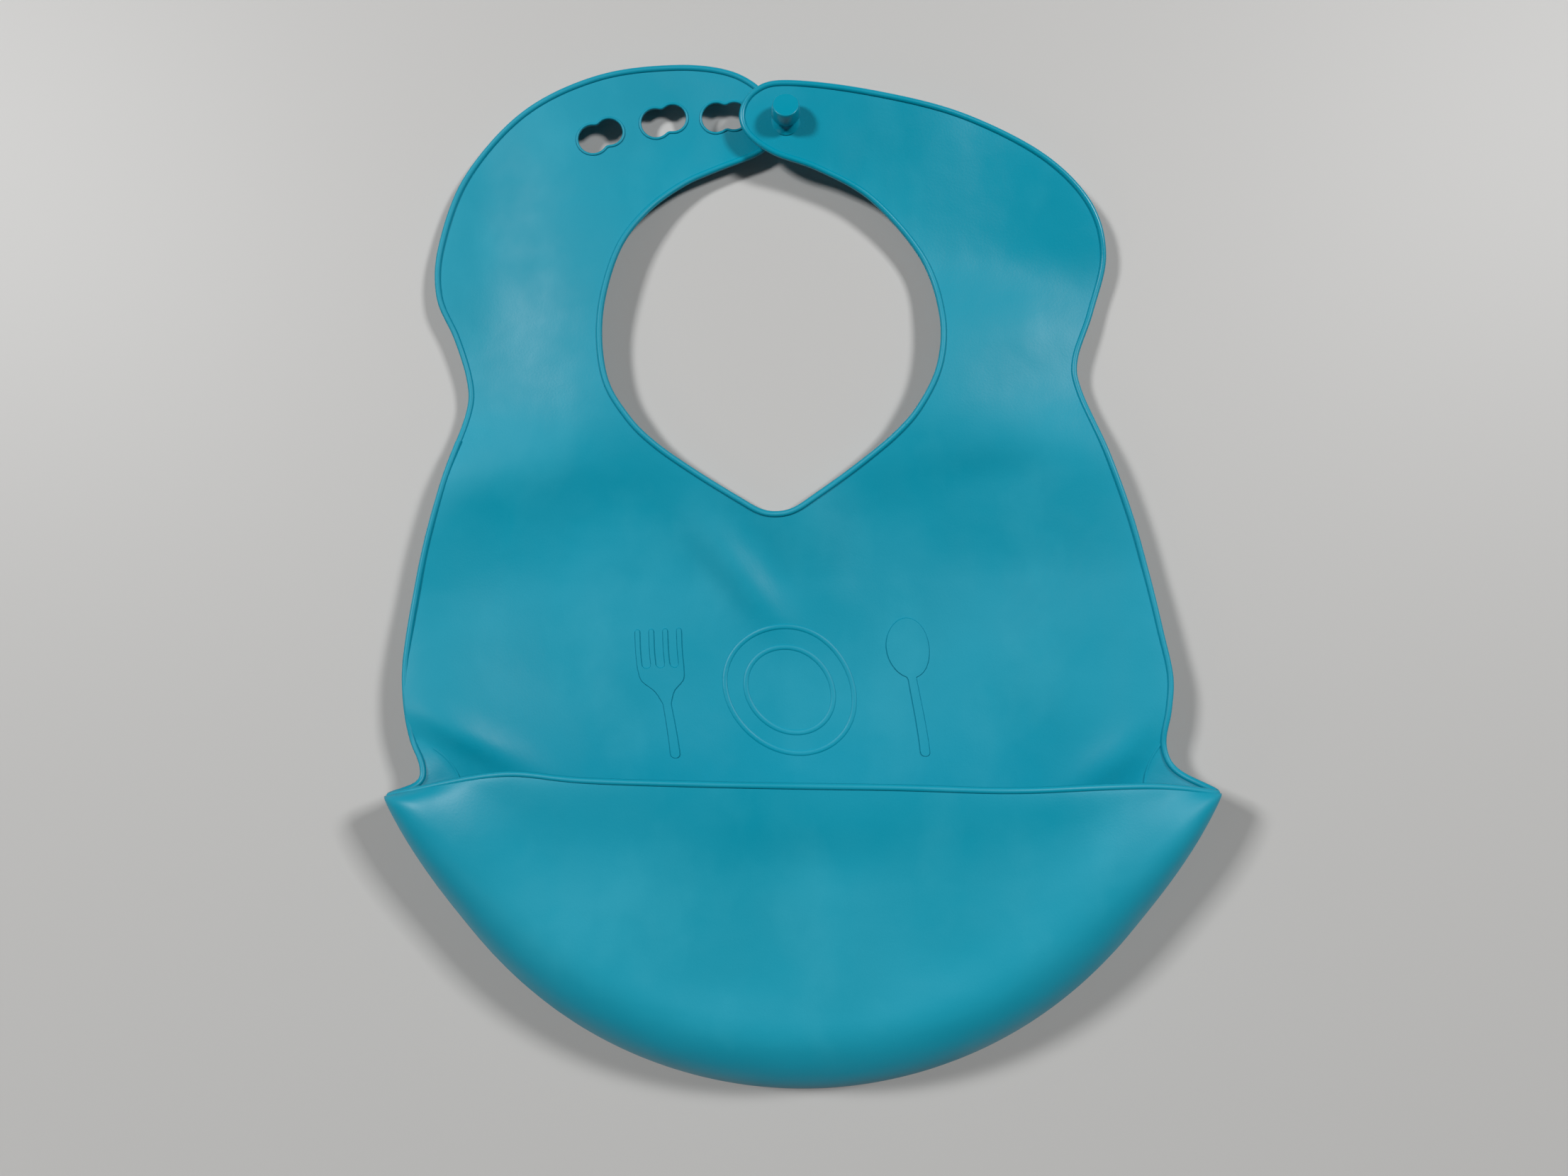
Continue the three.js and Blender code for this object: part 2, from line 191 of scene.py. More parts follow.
def inset(points, distance):
    """Moves a plan edge to its left by a distance."""
    tangent = np.gradient(points, axis=0)
    tangent /= np.linalg.norm(tangent, axis=1)[:, None]
    return points + np.column_stack([-tangent[:, 1], tangent[:, 0]]) * np.reshape(distance, (-1, 1))


def soften(points, rounds):
    """Rounds the corners of a polyline a little, and leaves its ends."""
    p = np.array(points, float)
    for _ in range(rounds):
        p[1:-1] = 0.25 * p[:-2] + 0.5 * p[1:-1] + 0.25 * p[2:]
    return p


# ---- the sheet's height ----
def smoothstep(x, low, high):
    t = np.clip((np.asarray(x, float) - low) / (high - low), 0, 1)
    return t * t * (3 - 2 * t)


def bump(x, middle, reach):
    """1 at its middle, and fading away past its reach."""
    return np.exp(-(((x - middle) / reach) ** 2))


def towards_tips(angle):
    """0 over most of the pouch's outline, rising to 1 at the ends of the rim."""
    return smoothstep(np.abs(angle) / TIP_ANGLE, TIP_SHARE, 1)


def outline_radius(angle):
    """The pouch's outline, about the centre of its arc and from its lowest point."""
    share = np.abs(angle) / TIP_ANGLE
    return RADIUS - OUTLINE_IN * (1 + 0.25 * smoothstep(share, 0.35, 0.75)) * (1 - share**12)


def outline_z(angle):
    return FOLD_Z + (TIP_Z - FOLD_Z) * towards_tips(angle)


def curl_width(angle):
    return CURL + (CURL_AT_TIP - CURL) * towards_tips(angle)


def curl_rise(share, tip):
    """Rise of the band that turns up round the floor, from 0 at its crease to 1 at the outline."""
    left = 1 - np.clip(share, 0, 1)
    turn = np.arcsin(left)
    rounded = (1 - CURL_ROUND) * left + CURL_ROUND * (1 - np.cos(turn))
    straight = 0.5 * left + 0.5 * left**2
    return rounded + (straight - rounded) * tip**2


def neck_lift(x, y):
    """The sheet curls up towards the neck, but hardly along the right strap."""
    from_edge = np.abs(np.hypot(x, y - NECK_Y) - NECK_RADIUS)
    grows = smoothstep(y, *NECK_LIFT_Y)
    low_on_right = 1 - NECK_DROP * smoothstep(x, *NECK_DROP_X) * smoothstep(y, *NECK_DROP_Y)
    return NECK_LIFT * bump(from_edge, 0, NECK_REACH) * grows * low_on_right


# Soft dents and swells of a sheet that has been rolled up and lain down again:
# centre, length, width, direction in degrees, height.
SWELLS = [
    (-12, 19, 19, 6.5, -54, 2.8),
    (7, 35, 22, 12, -75, 3.2),
    (-74, 53, 34, 13, 6, 2.4),
    (70, 56, 30, 13, -8, 2.2),
    (66, 46, 16, 7, 10, -0.7),
    (-38, -18, 20, 9, 40, -0.9),
    (68, 2, 22, 12, 62, 0.8),
    (90, -12, 14, 7, 70, -0.7),
    (-90, -28, 16, 5, -36, 1.9),
    (89, -34, 15, 5, 38, 1.8),
    (20, -12, 22, 12, -25, -0.5),
    (78, 100, 34, 13, -12, -1.6),
    (94, 126, 30, 18, -55, 2.4),
    (-88, 115, 36, 24, 80, -3.0),
    (-99, 122, 30, 12, 80, 2.6),
    (-92, 100, 22, 12, 80, 1.2),
    (-52, 142, 20, 10, 35, 0.5),
    (46, 158, 52, 20, -14, 4.0),
]
FRONT_SWELLS = [
    (10, -84, 22, 10, 90, 1.6),
    (-52, -76, 20, 12, 55, 0.9),
    (84, -72, 20, 11, -60, 0.7),
    (4, -58, 22, 9, 0, -0.8),
    (-24, -94, 18, 9, 25, -0.6),
    (44, -88, 18, 10, -30, -0.6),
]


def swell(x, y, swells):
    total = np.zeros(np.broadcast(x, y).shape)
    for cx, cy, length, width, direction, height in swells:
        c = math.cos(math.radians(direction))
        s = math.sin(math.radians(direction))
        along = ((x - cx) * c + (y - cy) * s) / length
        across = ((y - cy) * c - (x - cx) * s) / width
        total += height * np.exp(-(along**2 + across**2))
    return total


def waves(x, y):
    """A faint unevenness everywhere."""
    return 0.25 * np.sin(x / 9 + y / 19 + 0.6) + 0.2 * np.sin(y / 8 - x / 14 + 2.1)


def settled(z):
    """Keeps a sheet from sinking into the table, without a kink."""
    return 0.5 * (z + np.sqrt(z * z + SETTLE**2))


def chest_z(x, y):
    """The bulge of the chest, its curled sides, its shoulders and its neck edge."""
    side = smoothstep(np.abs(x), *SIDE_X) * smoothstep(y, *SIDE_Y)
    low = 1 - smoothstep(y, *SIDE_END_Y)
    shoulder = SHOULDER_LIFT * smoothstep(y, *SHOULDER_RISE_Y)
    bulge = CHEST_LIFT * bump(y, BULGE_Y, BULGE_REACH)
    bulge *= BULGE_MIDDLE + (1 - BULGE_MIDDLE) * smoothstep(np.abs(x), *BULGE_X)
    return SIDE_LIFT * side * low + bulge + shoulder + neck_lift(x, y)


def panel_z(x, y):
    """Back of the chest and of the pouch's floor, out to the pouch's outline."""
    x = np.asarray(x, float)
    y = np.asarray(y, float)
    angle = np.arctan2(np.abs(x), ARC_Y - y)
    to_tip = np.hypot(np.abs(x) - TIP_X, y - TIP_Y)
    in_sector = angle < TIP_ANGLE
    angle = np.minimum(angle, TIP_ANGLE)
    inside = np.where(in_sector, outline_radius(angle) - np.hypot(x, y - ARC_Y), to_tip)
    uneven = (swell(x, y, SWELLS) + waves(x, y)) * smoothstep(inside, *SWELLS_CLEAR)
    base = settled(chest_z(x, y) + uneven)
    rise = curl_rise(inside / curl_width(angle), towards_tips(angle))
    return base + (outline_z(angle) - base) * rise


def strap_z(x, y, tab_z):
    """Back of a strap, which comes to the height of its tab along the way."""
    far, near = TAB_RISE_X
    along_tab = smoothstep(y, *TAB_RISE_Y) * smoothstep(-np.abs(x), -far, -near)
    wing = SHOULDER_LIFT + neck_lift(x, y)
    return settled(wing + (tab_z - wing) * along_tab + swell(x, y, SWELLS) + waves(x, y))


def left_z(x, y):
    return np.where(y < SHOULDER_Y, panel_z(x, y), strap_z(x, y, LEFT_TAB_Z))


def right_z(x, y):
    return np.where(y < SHOULDER_Y, panel_z(x, y), strap_z(x, y, RIGHT_TAB_Z))


def lie(points):
    """The pouch lies a little askew of the chest: a shift and a small turn that fade in below it."""
    p = np.array(points, float)
    s = smoothstep(-p[:, 1], 0, -TIP_Y)
    x, y = p[:, 0].copy(), p[:, 1].copy()
    p[:, 0] = x + s * (SLEW_SHIFT + SLEW_SLOPE * (y - TIP_Y))
    p[:, 1] = y - s * SLEW_SLOPE * x
    return p


# ---- the pouch ----
def rim_radius(angle):
    """The pouch's rim, seen from the front: nearly straight between its ends."""
    across = np.tan(angle) / math.tan(TIP_ANGLE)
    dip = RIM_DIP * bump(across, *RIM_DIP_AT)
    flare = RIM_FLARE * bump(across, *RIM_FLARE_AT)
    up = (RIM_UP - RIM_TWIST * across + flare - dip) * (1 - across**RIM_SQUARE)
    return np.minimum((ARC_RISE - up) / np.cos(angle), outline_radius(angle))


def rim_z(angle):
    across = rim_radius(angle) * np.sin(angle) / TIP_X
    return TIP_Z + HALF + (RIM_Z - TIP_Z - HALF) * np.maximum(0, 1 - across**2) ** RIM_ARCH


def polar(angle, radius, z):
    return np.stack([radius * np.sin(angle), ARC_Y - radius * np.cos(angle), z], axis=-1)


def front_point(angle, rho):
    """The pouch's front wall: rho is 0 on the outline and 1 on the rim."""
    turn = np.arccos(np.clip(1 - rho / NOSE, 0, 1))
    rise = NOSE_RISE * np.sin(turn) + (1 - NOSE_RISE) * rho
    low = outline_z(angle) + HALF
    outline = outline_radius(angle)
    span = outline - rim_radius(angle)
    radius = outline - span * rho
    point = polar(angle, radius, low + (rim_z(angle) - low) * rise)
    crest = CREST * bump(span * rho, CREST_IN, CREST_WIDTH) * smoothstep(span, *CREST_WALL)
    sag = SAG * np.sin(math.pi * smoothstep(rho, SAG_FROM, 1)) * span / (RADIUS - ARC_RISE)
    clear_of_fold_and_rim = smoothstep(rho, 0.1, 0.4) * (1 - smoothstep(rho, 0.8, 1))
    clear_of_tips = 1 - towards_tips(angle) ** 2
    swells = swell(point[..., 0], point[..., 1], FRONT_SWELLS)
    point[..., 2] += (crest - sag) * smoothstep(rho, 0, SAG_FROM)
    point[..., 2] += clear_of_fold_and_rim * clear_of_tips * swells
    return point


# ---- meshes ----
def inside_loop(points, loop):
    """Which plan points lie inside a closed loop."""
    x, y = points[:, 0], points[:, 1]
    hit = np.zeros(len(points), bool)
    for (x0, y0), (x1, y1) in zip(loop, np.roll(loop, -1, axis=0)):
        crosses = (y0 > y) != (y1 > y)
        if crosses.any():
            at = (x1 - x0) * (y - y0) / (y1 - y0 + 1e-12) + x0
            hit ^= crosses & (x < at)
    return hit


def near_loop(points, loop, distance):
    close = np.zeros(len(points), bool)
    for spot in loop:
        close |= np.hypot(points[:, 0] - spot[0], points[:, 1] - spot[1]) < distance
    return close


def fill(loop, holes=()):
    """Triangles over the inside of a plan loop, with an even grid of points inside it."""
    low, high = loop.min(axis=0), loop.max(axis=0)
    xs = np.arange(low[0], high[0], GRID)
    ys = np.arange(low[1], high[1], GRID_ROW)
    grid = np.array([(x + (row % 2) * GRID / 2, y) for row, y in enumerate(ys) for x in xs])
    grid = grid[inside_loop(grid, loop) & ~near_loop(grid, loop, GRID_CLEAR)]
    for hole in holes:
        grid = grid[~inside_loop(grid, hole) & ~near_loop(grid, hole, GRID_CLEAR)]
    points, edges = [], []
    for ring in (loop, *holes):
        first = len(points)
        points.extend(ring)
        edges.extend((first + i, first + (i + 1) % len(ring)) for i in range(len(ring)))
    points.extend(grid)
    made = delaunay_2d_cdt([Vector(p) for p in points], edges, [], 0, 1e-5)
    verts = np.array([tuple(v) for v in made[0]])
    faces = [tuple(face) for face in made[2]]
    corners = np.array([verts[list(face)] for face in faces])
    ahead = corners[:, 1] - corners[:, 0]
    aside = corners[:, 2] - corners[:, 0]
    area = np.abs(ahead[:, 0] * aside[:, 1] - ahead[:, 1] * aside[:, 0]) / 2
    centres = corners.mean(axis=1)
    keep = inside_loop(centres, loop) & (area > SLIVER)
    for hole in holes:
        keep &= ~inside_loop(centres, hole)
    return verts, [face for face, kept in zip(faces, keep) if kept]


def build(points, faces):
    bm = bmesh.new()
    verts = [bm.verts.new(p) for p in points]
    for face in faces:
        bm.faces.new([verts[i] for i in face])
    return bm


def sheet_over(loop, height, holes=()):
    plan, faces = fill(loop, holes)
    z = height(plan[:, 0], plan[:, 1]) + HALF
    bm = build(np.column_stack([plan, z]), faces)
    for face in bm.faces:
        face.normal_update()
        if face.normal.z < 0:
            face.normal_flip()
    return bm


def cut(bm, at, outward, cap=False):
    """Removes what lies beyond a plane."""
    geometry = [*bm.verts, *bm.edges, *bm.faces]
    made = bmesh.ops.bisect_plane(bm, geom=geometry, dist=TINY, plane_co=at, plane_no=outward,
                                  clear_outer=True)
    if cap:
        edges = [e for e in made["geom_cut"] if isinstance(e, bmesh.types.BMEdge)]
        bmesh.ops.holes_fill(bm, edges=edges, sides=0)


def thicken(bm):
    """A closed wall from its middle surface."""
    bm.normal_update()
    bm.verts.index_update()
    middle = [(v.co.copy(), v.normal.copy()) for v in bm.verts]
    count = len(middle)
    points = [co + n * HALF for co, n in middle] + [co - n * HALF for co, n in middle]
    faces = []
    for face in bm.faces:
        ids = [v.index for v in face.verts]
        faces.append(ids)
        faces.append([count + i for i in reversed(ids)])
    for edge in bm.edges:
        if edge.is_boundary:
            loop = edge.link_loops[0]
            a, b = loop.vert.index, loop.link_loop_next.vert.index
            faces.append([b, a, count + a, count + b])
    bm.free()
    return build(points, faces)


def ring_faces(count, sides, closed=False):
    """Faces from each ring of points to the next, and if closed, from the last one to the first."""
    faces = []
    for i in range(count if closed else count - 1):
        j = (i + 1) % count
        for k in range(sides):
            m = (k + 1) % sides
            faces.append([i * sides + k, i * sides + m, j * sides + m, j * sides + k])
    return faces


def tube(points, across, up, closed=False, sides=12):
    """A rounded bead along 3-D points: across and up are the radii of its section."""
    p = np.asarray(points, float)
    if closed:
        tangent = np.roll(p, -1, axis=0) - np.roll(p, 1, axis=0)
    else:
        tangent = np.gradient(p, axis=0)
    tangent /= np.linalg.norm(tangent, axis=1)[:, None]
    side = np.cross(tangent, (0, 0, 1.0))
    side /= np.linalg.norm(side, axis=1)[:, None]
    rise = np.cross(side, tangent)
    turn = np.linspace(0, 2 * math.pi, sides, endpoint=False)
    rings = (p[:, None] + across * side[:, None] * np.cos(turn)[None, :, None]
             + up * rise[:, None] * np.sin(turn)[None, :, None])
    count = len(p)
    faces = ring_faces(count, sides, closed)
    if not closed:
        faces.append(list(range(sides))[::-1])
        faces.append([(count - 1) * sides + k for k in range(sides)])
    bm = build(rings.reshape(-1, 3), faces)
    bmesh.ops.recalc_face_normals(bm, faces=bm.faces)
    return bm


def join(name, parts, material):
    """One object from closed parts in millimetres."""
    whole = bmesh.new()
    for part in parts:
        loose = bpy.data.meshes.new("loose")
        part.to_mesh(loose)
        part.free()
        whole.from_mesh(loose)
        bpy.data.meshes.remove(loose)
    bmesh.ops.scale(whole, vec=(MM, MM, MM), verts=whole.verts)
    mesh = bpy.data.meshes.new(name)
    whole.to_mesh(mesh)
    whole.free()
    mesh.polygons.foreach_set("use_smooth", [True] * len(mesh.polygons))
    mesh.set_sharp_from_angle(angle=SHARP)
    mesh.materials.append(material)
    piece = bpy.data.objects.new(name, mesh)
    bpy.context.scene.collection.objects.link(piece)
    return piece


# ---- edges in space ----
def bead_line(plan, height):
    z = height(plan[:, 0], plan[:, 1]) + HALF + BEAD_PROUD
    return np.column_stack([plan, z])


def side_edge(corner):
    """A side of the chest, from the pouch's corner up past the shoulder, as on the right."""
    edge = spline(corner + SIDE + RIGHT_STRAP[:3], CURVE_STEP)
    run = np.linspace(0, 1, len(edge)) * len(edge) * CURVE_STEP
    return inset(edge, BEAD * smoothstep(run, 0, CORNER_FADE))


def notch_edge():
    """Neck edge of the chest, from past the right shoulder round the notch to past the left one."""
    notch = [*HALF_NOTCH, NOTCH_BOTTOM, *mirrored(HALF_NOTCH[::-1])]
    return inset(spline([RIGHT_STRAP[-1], *notch, LEFT_STRAP[-1]], CURVE_STEP), BEAD)


def strap_edge(side, chest_side, strap, neck_side):
    """A strap's whole free edge, from the chest's side round the tab to the chest's neck edge."""
    return inset(spline([*chest_side[-4:], *strap, *neck_side], CURVE_STEP), side * BEAD)


def up_from(points, low):
    """The stretch of a chest edge from this y to a little past the upper seam."""
    return points[(points[:, 1] > low) & (points[:, 1] < SEAM_HIGH + PAST_SEAM)]


# ---- the lower chest and the pouch ----
COLUMNS = 260  # from one end of the rim to the other
COLUMNS_EVEN = 0.4  # share of even spacing; the rest is closer towards the ends
BAND_ROWS = 14
NOSE_ROWS = 12
FRONT_ROWS = 34
RIM_STEP = 0.7
GUSSET_ANGLES = (131, 200)  # about the end of the rim, in degrees
GUSSET_POINTS = 24
GUSSET_WIDTH = 0.4  # half of it
GUSSET_HEIGHT = 0.3
RIM_ROUNDS = 8  # how much the bead's corners are rounded


def column_angles():
    t = np.linspace(-1, 1, COLUMNS + 1)
    return TIP_ANGLE * (COLUMNS_EVEN * t + (1 - COLUMNS_EVEN) * np.sin(t * math.pi / 2))


def pouch_grid():
    """Middle surface of the band, the fold and the front wall, as rows of points by column."""
    angle = column_angles()
    rows = []
    for turn in np.linspace(0, math.pi / 2, BAND_ROWS + 1):
        radius = outline_radius(angle) - curl_width(angle) * (1 - math.sin(turn))
        flat = polar(angle, radius, np.zeros_like(angle))
        flat[:, 2] = panel_z(flat[:, 0], flat[:, 1]) + HALF
        rows.append(flat)
    for turn in np.linspace(0, math.pi / 2, NOSE_ROWS + 1)[1:]:
        rows.append(front_point(angle, NOSE * (1 - math.cos(turn))))
    for rho in np.linspace(NOSE, 1, FRONT_ROWS + 1)[1:]:
        rows.append(front_point(angle, rho))
    return np.array(rows)


def lower_surface(right_side, left_side):
    """The chest, the pouch's floor, its band, fold and front wall, in one."""
    grid = pouch_grid()
    crease = grid[0][:, :2]
    right_ray = grid[1:BAND_ROWS, -1, :2]
    left_ray = grid[1:BAND_ROWS, 0, :2]
    right, left = (resample(up_from(side, TIP_Y - 1), EDGE_STEP)
                   for side in (right_side, left_side))
    right[0] = left[0] = (TIP_X, TIP_Y)
    neck = resample(up_from(notch_edge(), 0), EDGE_STEP)
    loop = np.vstack([crease, right_ray, right, neck, mirrored(left[::-1]), left_ray[::-1]])
    bm = sheet_over(loop, panel_z)
    rows, columns = grid.shape[:2]
    verts = [[bm.verts.new(p) for p in row] for row in grid]
    for i in range(rows - 1):
        for j in range(columns - 1):
            bm.faces.new([verts[i][j], verts[i][j + 1], verts[i + 1][j + 1], verts[i + 1][j]])
    bmesh.ops.remove_doubles(bm, verts=bm.verts, dist=WELD)
    bmesh.ops.dissolve_degenerate(bm, edges=bm.edges, dist=TINY)
    return bm


def orient(bm, up_at):
    """Turns the whole surface over if its face nearest a point looks down."""
    bmesh.ops.recalc_face_normals(bm, faces=bm.faces)
    bm.normal_update()
    near = min(bm.faces, key=lambda f: (f.calc_center_median().xy - Vector(up_at)).length)
    if near.normal.z < 0:
        bmesh.ops.reverse_faces(bm, faces=bm.faces)


def askew(bm):
    moved = lie([v.co for v in bm.verts])
    for v, p in zip(bm.verts, moved):
        v.co = p


def pouch_bead(right_side, left_side):
    """The bead from the left side of the chest round the corner, along the rim, and up the right."""
    right, left = (bead_line(up_from(side, TIP_Y - 1), panel_z)
                   for side in (right_side, left_side))
    rim = front_point(column_angles(), np.ones(COLUMNS + 1))
    rim[:, 2] += BEAD_PROUD
    line = resample(np.vstack([left[::-1] * (-1, 1, 1), rim[1:-1], right]), RIM_STEP)
    return soften(line, RIM_ROUNDS)


def gusset_line(side):
    """The thin line at a corner of the pouch where the gusset folds up out of the floor."""
    turn = np.radians(np.linspace(*GUSSET_ANGLES, GUSSET_POINTS))
    plan = np.column_stack([side * (TIP_X + CURL_AT_TIP * np.cos(turn)),
                            TIP_Y + CURL_AT_TIP * np.sin(turn)])
    z = panel_z(plan[:, 0], plan[:, 1]) + SHEET
    return tube(lie(np.column_stack([plan, z])), GUSSET_WIDTH, GUSSET_HEIGHT, sides=8)


def chest_pieces(material):
    sides = side_edge(RIGHT_CORNER), side_edge(LEFT_CORNER)
    surface = lower_surface(*sides)
    orient(surface, (0.0, 0.0))
    bead = tube(pouch_bead(*sides), BEAD, BEAD)
    notch_line = resample(up_from(notch_edge(), 0), BEAD_STEP)
    notch = tube(bead_line(notch_line, panel_z), BEAD, BEAD)
    lower, upper = surface, surface.copy()
    lower_bead, upper_bead = bead, bead.copy()
    low_seam = (0, SEAM_LOW, 0)
    high_seam = (0, SEAM_HIGH, 0)
    cut(lower, low_seam, (0, 1, 0))
    cut(lower_bead, low_seam, (0, 1, 0), cap=True)
    for bm, cap in ((upper, False), (upper_bead, True), (notch, True)):
        cut(bm, low_seam, (0, -1, 0), cap)
        cut(bm, high_seam, (0, 1, 0), cap)
    for bm in (lower, lower_bead):
        askew(bm)
    details = [gusset_line(1), gusset_line(-1), *relief()]
    pouch = join("pouch_and_lower_chest", [thicken(lower), lower_bead, *details], material)
    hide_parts("lower_panel", "pouch_bottom_fold", "pouch_front_wall")
    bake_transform(pouch)
    chest = join("upper_chest", [thicken(upper), upper_bead, notch], material)
    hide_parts("upper_panel")
    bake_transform(chest)


# ---- relief on the chest: a plate between a fork and a spoon ----
RELIEF_Y = -15.0
RELIEF_HEIGHT = 0.4
RELIEF_BEVEL = 0.35
RELIEF_STEP = 0.6
RELIEF_ROOT = 0.3  # its depth in the chest
PLATE_RINGS = (18.5, 12.5)  # radii
RING_WIDTH = 0.8  # half of it
RING_HEIGHT = 0.3
CUTLERY_X = 36.0
HANDLE = 1.6  # half its width
HANDLE_LENGTH = 18
FORK_SHOULDER = [(1.4, -3), (3, 0.6), (6.2, 4), (6.9, 8)]
TINES = (6, 2, -2, -6)
TINE_TOP = 18.5
TINE_TIP = 0.95  # radius
TINE_FOOT = 9
TINE_GAP = 1.05  # radius of the slot's end between two tines
TINE_STEP = 2  # from a tine to the slot beside it
BOWL = (6.4, 8.8)  # half its width and length
BOWL_UP = 11
BOWL_ANGLES = (-77, 257)  # where the bowl leaves the handle, in degrees
OVAL_POINTS = 72


def draped(plan, lift):
    """Plan points laid on the front of the chest."""
    z = panel_z(plan[:, 0], plan[:, 1]) + SHEET + lift
    return lie(np.column_stack([plan, z]))


def oval(cx, cy, rx, ry, low=0.0, high=2 * math.pi):
    turn = np.linspace(low, high, OVAL_POINTS)
    return np.column_stack([cx + rx * np.cos(turn), cy + ry * np.sin(turn)])


def ring(radius):
    plan = oval(0, RELIEF_Y, radius, radius)[:-1]
    return tube(draped(plan, 0), RING_WIDTH, RING_HEIGHT, closed=True, sides=10)


def raised(outline):
    """A flat-topped shape standing low on the chest, from an outline that runs anticlockwise."""
    outer = resample(np.vstack([outline, outline[:1]]), RELIEF_STEP)[:-1]
    along = np.roll(outer, -1, axis=0) - np.roll(outer, 1, axis=0)
    along /= np.linalg.norm(along, axis=1)[:, None]
    inner = outer + np.column_stack([-along[:, 1], along[:, 0]]) * RELIEF_BEVEL
    base, base_faces = fill(outer)
    top, top_faces = fill(inner)
    points = np.vstack([draped(base, -RELIEF_ROOT), draped(top, RELIEF_HEIGHT)])
    first = len(base)
    faces = [face[::-1] for face in base_faces]
    faces += [tuple(first + i for i in face) for face in top_faces]
    count = len(outer)
    for i in range(count):
        j = (i + 1) % count
        faces.append((i, j, first + j, first + i))
    bm = build(points, faces)
    bmesh.ops.recalc_face_normals(bm, faces=bm.faces)
    return bm


def handle_end(x, y):
    return oval(x, y - HANDLE_LENGTH, HANDLE, HANDLE, math.pi, 2 * math.pi)


def fork(x, y):
    half = spline(FORK_SHOULDER, 0.5)
    outline = [handle_end(x, y), half + (x, y)]
    for tine in TINES:
        outline.append(oval(x + tine, y + TINE_TOP, TINE_TIP, TINE_TIP, 0, math.pi))
        if tine > TINES[-1]:
            slot = x + tine - TINE_STEP
            outline.append(oval(slot, y + TINE_FOOT, TINE_GAP, TINE_GAP, 2 * math.pi, math.pi))
    outline.append(half[::-1] * (-1, 1) + (x, y))
    return raised(np.vstack(outline))


def spoon(x, y):
    low, high = BOWL_ANGLES
    bowl = oval(x, y + BOWL_UP, *BOWL, math.radians(low), math.radians(high))
    return raised(np.vstack([bowl, handle_end(x, y)]))


def relief():
    plate = [ring(radius) for radius in PLATE_RINGS]
    return [*plate, fork(-CUTLERY_X, RELIEF_Y), spoon(CUTLERY_X, RELIEF_Y)]


# ---- straps ----
KEYHOLES = [(-10.8, 151, 2), (-28.4, 150.7, 15), (-46.6, 146.5, 24)]  # x, y, tilt in degrees
KEYHOLE_LIP = 0.4
KEYHOLE_STEP = 0.5
BIG_LOBE = 4.5  # radii of the cut in the sheet
SMALL_LOBE = 4.2
LOBES_APART = 5.2


def keyhole(x, y, degrees):
    """Outline of a keyhole: two round lobes, the smaller one towards the end of the tab."""
    tilt = math.radians(degrees)
    split = (LOBES_APART**2 + BIG_LOBE**2 - SMALL_LOBE**2) / (2 * LOBES_APART)
    half_big = math.acos(split / BIG_LOBE)
    half_small = math.acos((LOBES_APART - split) / SMALL_LOBE)
    left = oval(-LOBES_APART / 2, 0, BIG_LOBE, BIG_LOBE, half_big, 2 * math.pi - half_big)
    right = oval(LOBES_APART / 2, 0, SMALL_LOBE, SMALL_LOBE,
                 half_small - math.pi, math.pi - half_small)
    loop = np.vstack([left, right, left[:1]])
    loop = resample(loop, KEYHOLE_STEP)[:-1]
    for _ in range(2):
        loop = 0.25 * np.roll(loop, 1, axis=0) + 0.5 * loop + 0.25 * np.roll(loop, -1, axis=0)
    turn = np.array([[math.cos(tilt), math.sin(tilt)], [-math.sin(tilt), math.cos(tilt)]])
    return loop @ turn + (x, y)


def tab_line(side):
    """Where a tab starts: a point on the line, and the direction along the strap past it."""
    across = Vector((side * TAB_AXIS.x, TAB_AXIS.y, 0))
    return Vector((0, NECK_Y, 0)), Vector((-side * across.y, side * across.x, 0)).normalized()


def strap_pieces(side, edge, height, strap_name, tab_name, nodes, extra, material):
    """A strap and its end tab, cut apart just before the stretch that bends between them.

    side is 1 on the right and -1 on the left. The first of nodes is the strap's, the rest the tab's.
    """
    edge = edge[edge[:, 1] > SEAM_HIGH - BEFORE_SEAM]
    holes = [keyhole(*place) for place in KEYHOLES] if side < 0 else []
    surface = sheet_over(resample(edge, EDGE_STEP), height, holes)
    orient(surface, (side * 70.0, NECK_Y + 10))
    bead = tube(soften(bead_line(resample(edge, BEAD_STEP), height), 2), BEAD, BEAD)
    centre, forward = tab_line(side)
    seam = centre - forward * (TAB_REACH + 2)
    low_seam = (0, SEAM_HIGH, 0)
    tab_surface, tab_bead = surface.copy(), bead.copy()
    for bm, cap in ((surface, False), (bead, True)):
        cut(bm, low_seam, (0, -1, 0), cap)
        cut(bm, seam, forward, cap)
    for bm, cap in ((tab_surface, False), (tab_bead, True)):
        cut(bm, low_seam, (0, -1, 0), cap)
        cut(bm, seam, -forward, cap)
    lips = []
    for hole in holes:
        z = height(hole[:, 0], hole[:, 1]) + SHEET
        line = np.column_stack([hole, z])
        lips.append(tube(line, KEYHOLE_LIP, KEYHOLE_LIP, closed=True, sides=10))
    strap = join(strap_name + "_piece", [thicken(surface), bead], material)
    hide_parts(nodes[0])
    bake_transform(strap)
    tab = join(tab_name + "_piece", [thicken(tab_surface), tab_bead, *lips, *extra], material)
    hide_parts(*nodes[1:])
    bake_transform(tab)


STUD_NECK = 2.8  # radii
STUD_HEAD = 4.1
STUD_TOP = 3.7
STUD_ROOT = 0.3  # depth of its foot in the tab
STUD_UNDER = 2.7  # underside of the head above the foot
STUD_ABOVE = 0.3  # its top above the CAD's
STUD_LEAN = math.radians(16)  # its head leans outwards, away from the neck
STUD_TURNS = 40


